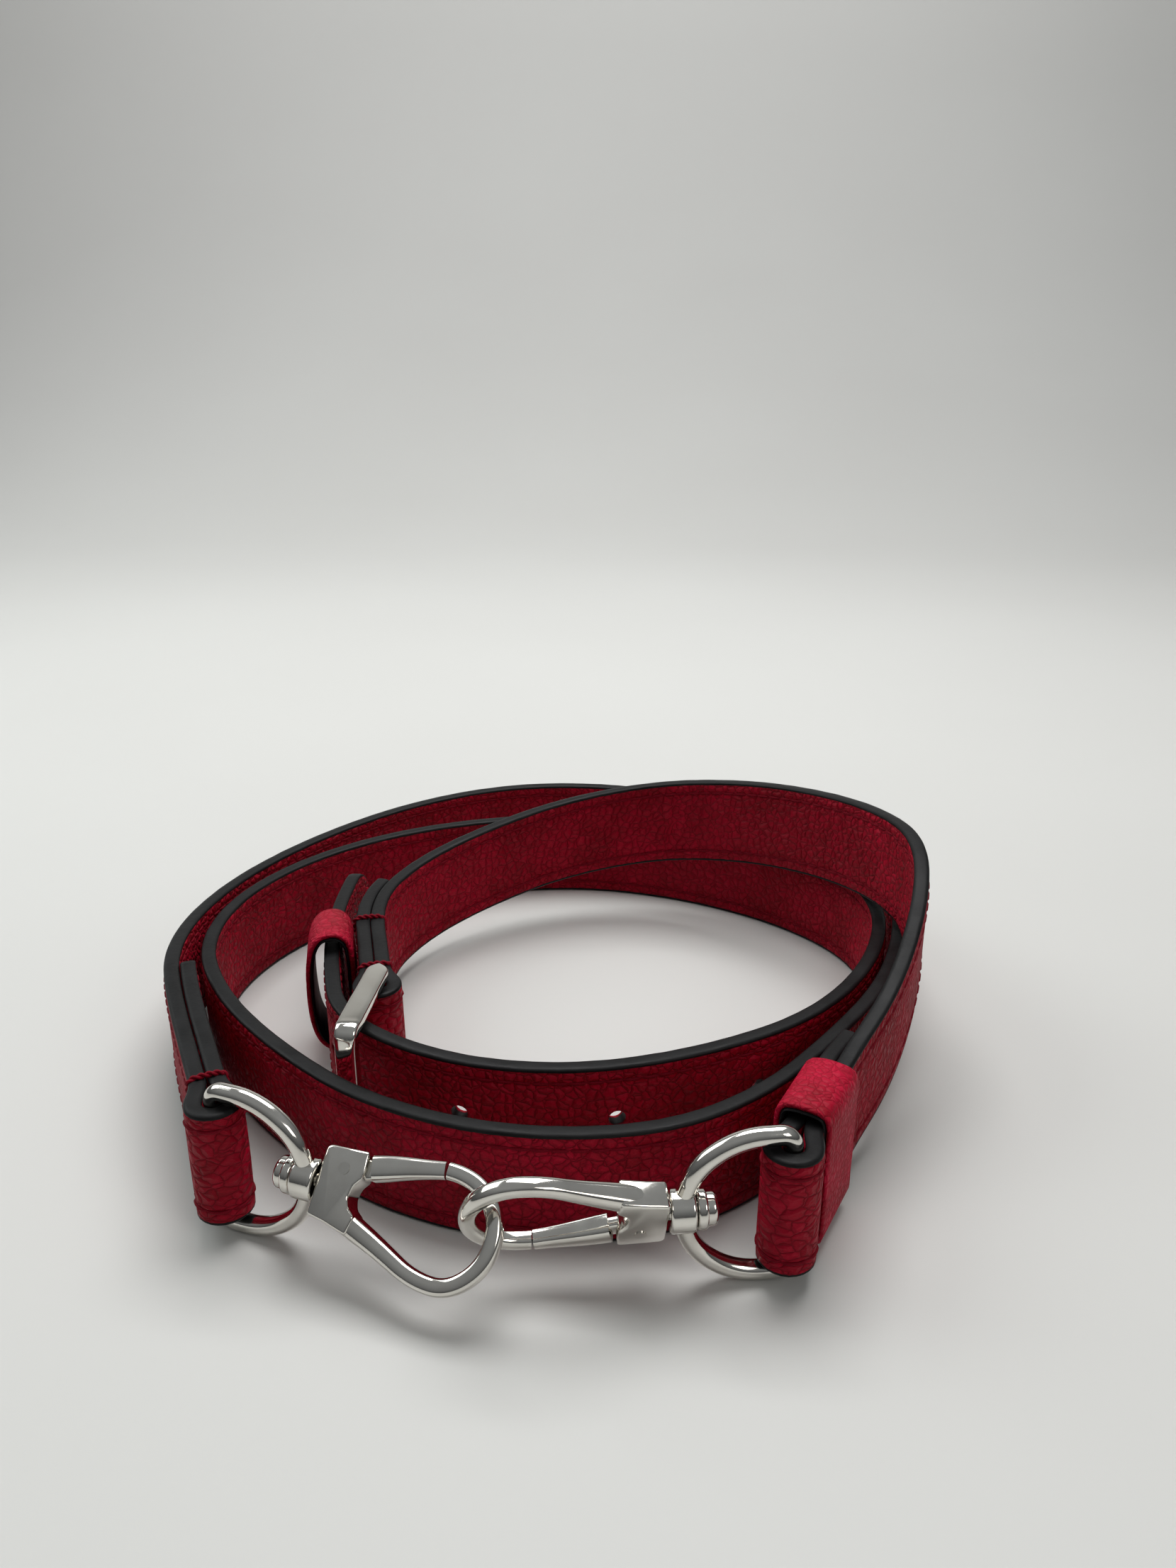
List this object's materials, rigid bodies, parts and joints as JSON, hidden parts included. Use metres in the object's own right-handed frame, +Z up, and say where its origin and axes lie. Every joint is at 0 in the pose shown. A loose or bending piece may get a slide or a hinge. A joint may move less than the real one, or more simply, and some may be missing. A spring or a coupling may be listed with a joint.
{
  "type": "leather shoulder strap",
  "caption": "Narrow red leather shoulder strap with a buckle, D-rings and two swivel snap hooks, coiled on edge with the hooks clipped together.",
  "frame": {"origin": "bottom centre of the coil's bounding box, on the surface it stands on", "axes": "+Z up, -Y towards the side with the rings and hooks, +X to the right along that side"},
  "size_m": [0.1504, 0.1726, 0.0416],
  "materials": {
    "red_leather": "pebbled crimson leather, semi-matt",
    "black_edge": "leather stiffener with smooth black edge paint",
    "red_thread": "waxed red thread",
    "polished_nickel": "mirror-polished pale nickel plate"
  },
  "bodies": {
    "strap": {"keeper_loop": "red_leather", "long_strap_core": "black_edge", "long_strap_lining": "red_leather", "long_strap_outer": "red_leather", "short_strap_core": "black_edge", "short_strap_lining": "red_leather", "short_strap_outer": "red_leather", "tack_buckle_front": "red_thread", "tack_buckle_rear": "red_thread", "tack_left_ring": "red_thread"},
    "ring_left": {"ring_left": "polished_nickel"},
    "ring_right": {"ring_right": "polished_nickel"},
    "hook_left": {"hook_left": "polished_nickel", "gate_pin_left": "polished_nickel", "swivel_rivet_left": "polished_nickel", "swivel_washer_left": "polished_nickel"},
    "hook_right": {"hook_right": "polished_nickel", "gate_pin_right": "polished_nickel", "swivel_rivet_right": "polished_nickel", "swivel_washer_right": "polished_nickel"},
    "gate_left": {"gate_left": "polished_nickel"},
    "gate_right": {"gate_right": "polished_nickel"},
    "buckle": {"buckle_frame": "polished_nickel"},
    "prong": {"buckle_prong": "polished_nickel"},
    "sleeve": {"keeper_sleeve": "red_leather"}
  },
  "joints": [
    {"name": "ring_left_swing", "type": "hinge", "parent": "strap", "child": "ring_left", "pos_m": [-0.0496, -0.06454, 0.0134], "axis": [0, 0, 1], "range_deg": [-1.5, 0.5]},
    {"name": "ring_right_swing", "type": "hinge", "parent": "strap", "child": "ring_right", "pos_m": [0.0367, -0.07534, 0.0134], "axis": [0, 0, 1], "range_deg": [-2.2, 0]},
    {"name": "hook_left_swivel", "type": "hinge", "parent": "ring_left", "child": "hook_left", "pos_m": [-0.03456, -0.07001, 0.0134], "axis": [0.9397, -0.342, 0], "range_deg": [-9, 6]},
    {"name": "hook_right_swivel", "type": "hinge", "parent": "ring_right", "child": "hook_right", "pos_m": [0.02079, -0.07698, 0.0134], "axis": [-0.9947, -0.1028, 0], "range_deg": [-9, 4]},
    {"name": "gate_left_open", "type": "hinge", "parent": "hook_left", "child": "gate_left", "pos_m": [-0.02823, -0.07046, 0.01519], "axis": [0.2444, 0.6714, -0.6997], "range_deg": [0, 22], "stiffness_Nm_per_rad": 0.02, "springref_deg": -20.05},
    {"name": "gate_right_open", "type": "hinge", "parent": "hook_right", "child": "gate_right", "pos_m": [0.01462, -0.07664, 0.0111], "axis": [-0.0946, 0.9156, 0.3907], "range_deg": [0, 22], "stiffness_Nm_per_rad": 0.02, "springref_deg": -20.05},
    {"name": "buckle_tilt", "type": "hinge", "parent": "strap", "child": "buckle", "pos_m": [-0.0307, -0.02914, 0.0134], "axis": [0, 0, 1], "range_deg": [0, 2.5]},
    {"name": "prong_lift", "type": "hinge", "parent": "buckle", "child": "prong", "pos_m": [-0.0307, -0.02914, 0.0134], "axis": [0, 0, -1], "range_deg": [0, 1]},
    {"name": "sleeve_slide", "type": "slide", "parent": "strap", "child": "sleeve", "axis": [0.4244, 0.9055, 0], "range_m": [0, 0.0015]}
  ]
}
